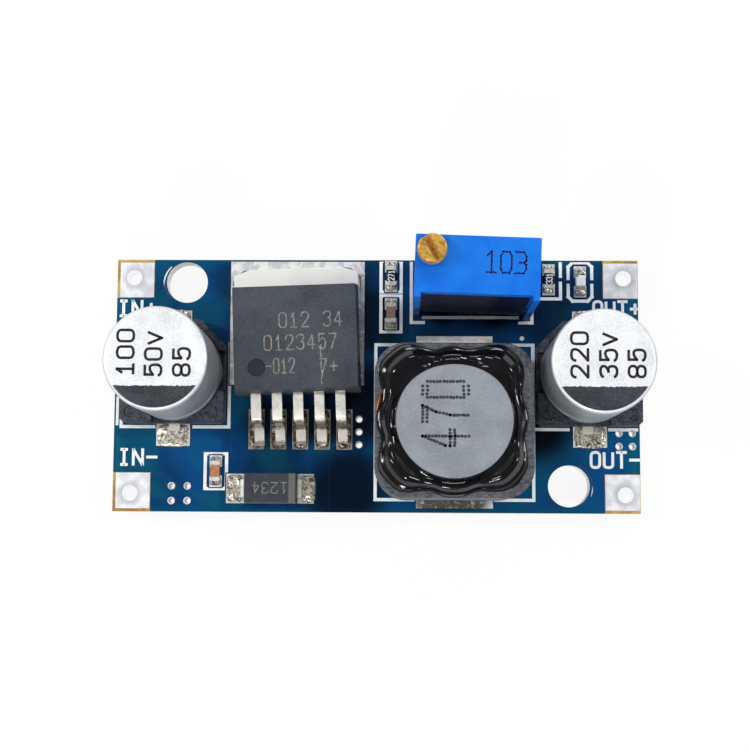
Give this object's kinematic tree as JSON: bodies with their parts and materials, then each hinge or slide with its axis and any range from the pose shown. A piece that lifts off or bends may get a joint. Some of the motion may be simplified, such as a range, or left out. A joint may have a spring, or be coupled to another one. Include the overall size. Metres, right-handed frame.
{
  "type": "buck converter module",
  "caption": "Small step-down supply board with regulator chip, shielded inductor, can capacitors, diode and multi-turn trimmer, with wire holes in its corners.",
  "frame": {"origin": "on the underside of the board, midway between the two mounting holes", "axes": "+X along the board towards its output end, +Y towards the long edge with the trimmer, +Z out of the component side"},
  "size_m": [0.043, 0.0209, 0.0144],
  "materials": {
    "laminate": "glass-fibre epoxy, cut edges",
    "solder_mask": "thin blue lacquer over copper",
    "white_ink": "screen-printed ink",
    "tinned_copper": "hot-air-levelled tin",
    "solder": "bright reflowed solder",
    "moulding_compound": "fine-grained epoxy",
    "tinned_tab": "matt tin",
    "tinned_lead": "tinned, formed",
    "shield_ferrite": "ground ferrite",
    "drum_ferrite": "ground ferrite",
    "copper_wire": "enamelled copper",
    "black_adhesive": "wet-looking cured resin",
    "can_aluminium": "drawn can, satin top",
    "base_plastic": "moulded, fine texture",
    "blue_housing": "moulded, satin",
    "screw_brass": "turned, cut slot",
    "seal_rubber": "soft ring",
    "rotor_plastic": "moulded",
    "wiper_spring": "thin spring metal",
    "white_ceramic": "fired plate",
    "navy_potting": "cast resin",
    "led_base": "white laminate",
    "led_resin": "clear-cream resin",
    "resistor_glass": "glass coat on ceramic",
    "capacitor_ceramic": "fired ceramic"
  },
  "bodies": {
    "board": {"circuit_board": "laminate", "solder_mask_top": "solder_mask", "solder_mask_bottom": "solder_mask", "ink_outlines": "white_ink", "component_pads": "tinned_copper", "via_barrels": "tinned_copper", "in_plus_terminal": "tinned_copper", "in_minus_terminal": "tinned_copper", "out_plus_terminal": "tinned_copper", "out_minus_terminal": "tinned_copper", "trimmer_pads": "tinned_copper", "solder_fillets": "solder", "trimmer_solder": "solder", "regulator_body": "moulding_compound", "regulator_tab": "tinned_tab", "regulator_leads": "tinned_lead", "diode_body": "moulding_compound", "diode_leads": "tinned_lead", "inductor_shield": "shield_ferrite", "inductor_drum_core": "drum_ferrite", "inductor_winding": "copper_wire", "inductor_adhesive": "black_adhesive", "inductor_terminals": "tinned_lead", "input_capacitor_can": "can_aluminium", "input_capacitor_base": "base_plastic", "input_capacitor_leads": "tinned_lead", "output_capacitor_can": "can_aluminium", "output_capacitor_base": "base_plastic", "output_capacitor_leads": "tinned_lead", "trimmer_housing": "blue_housing", "trimmer_seal": "seal_rubber", "trimmer_element": "white_ceramic", "trimmer_potting": "navy_potting", "trimmer_pins": "tinned_lead", "led_board": "led_base", "led_lens": "led_resin", "led_terminals": "tinned_lead", "led_resistor_body": "resistor_glass", "led_resistor_ends": "tinned_lead", "feedback_resistor_body": "resistor_glass", "feedback_resistor_ends": "tinned_lead", "feedback_capacitor_body": "capacitor_ceramic", "feedback_capacitor_ends": "tinned_lead", "bypass_capacitor_body": "capacitor_ceramic", "bypass_capacitor_ends": "tinned_lead"},
    "screw": {"trimmer_screw": "screw_brass"},
    "rotor": {"trimmer_rotor": "rotor_plastic", "trimmer_wiper": "wiper_spring"}
  },
  "joints": [
    {"name": "trimmer_screw_turn", "type": "hinge", "parent": "board", "child": "screw", "pos_m": [0.00436, 0.00906, 0.0105], "axis": [0, 0, 1], "range_deg": [-4500, 4500]},
    {"name": "trimmer_rotor_turn", "type": "hinge", "parent": "board", "child": "rotor", "pos_m": [0.00751, 0.00897, 0.00683], "axis": [0.034, 0.9994, 0], "range_deg": [-151, 151]}
  ],
  "couplings": [
    {"joint": "trimmer_rotor_turn", "follows": "trimmer_screw_turn", "ratio": -0.033333}
  ]
}
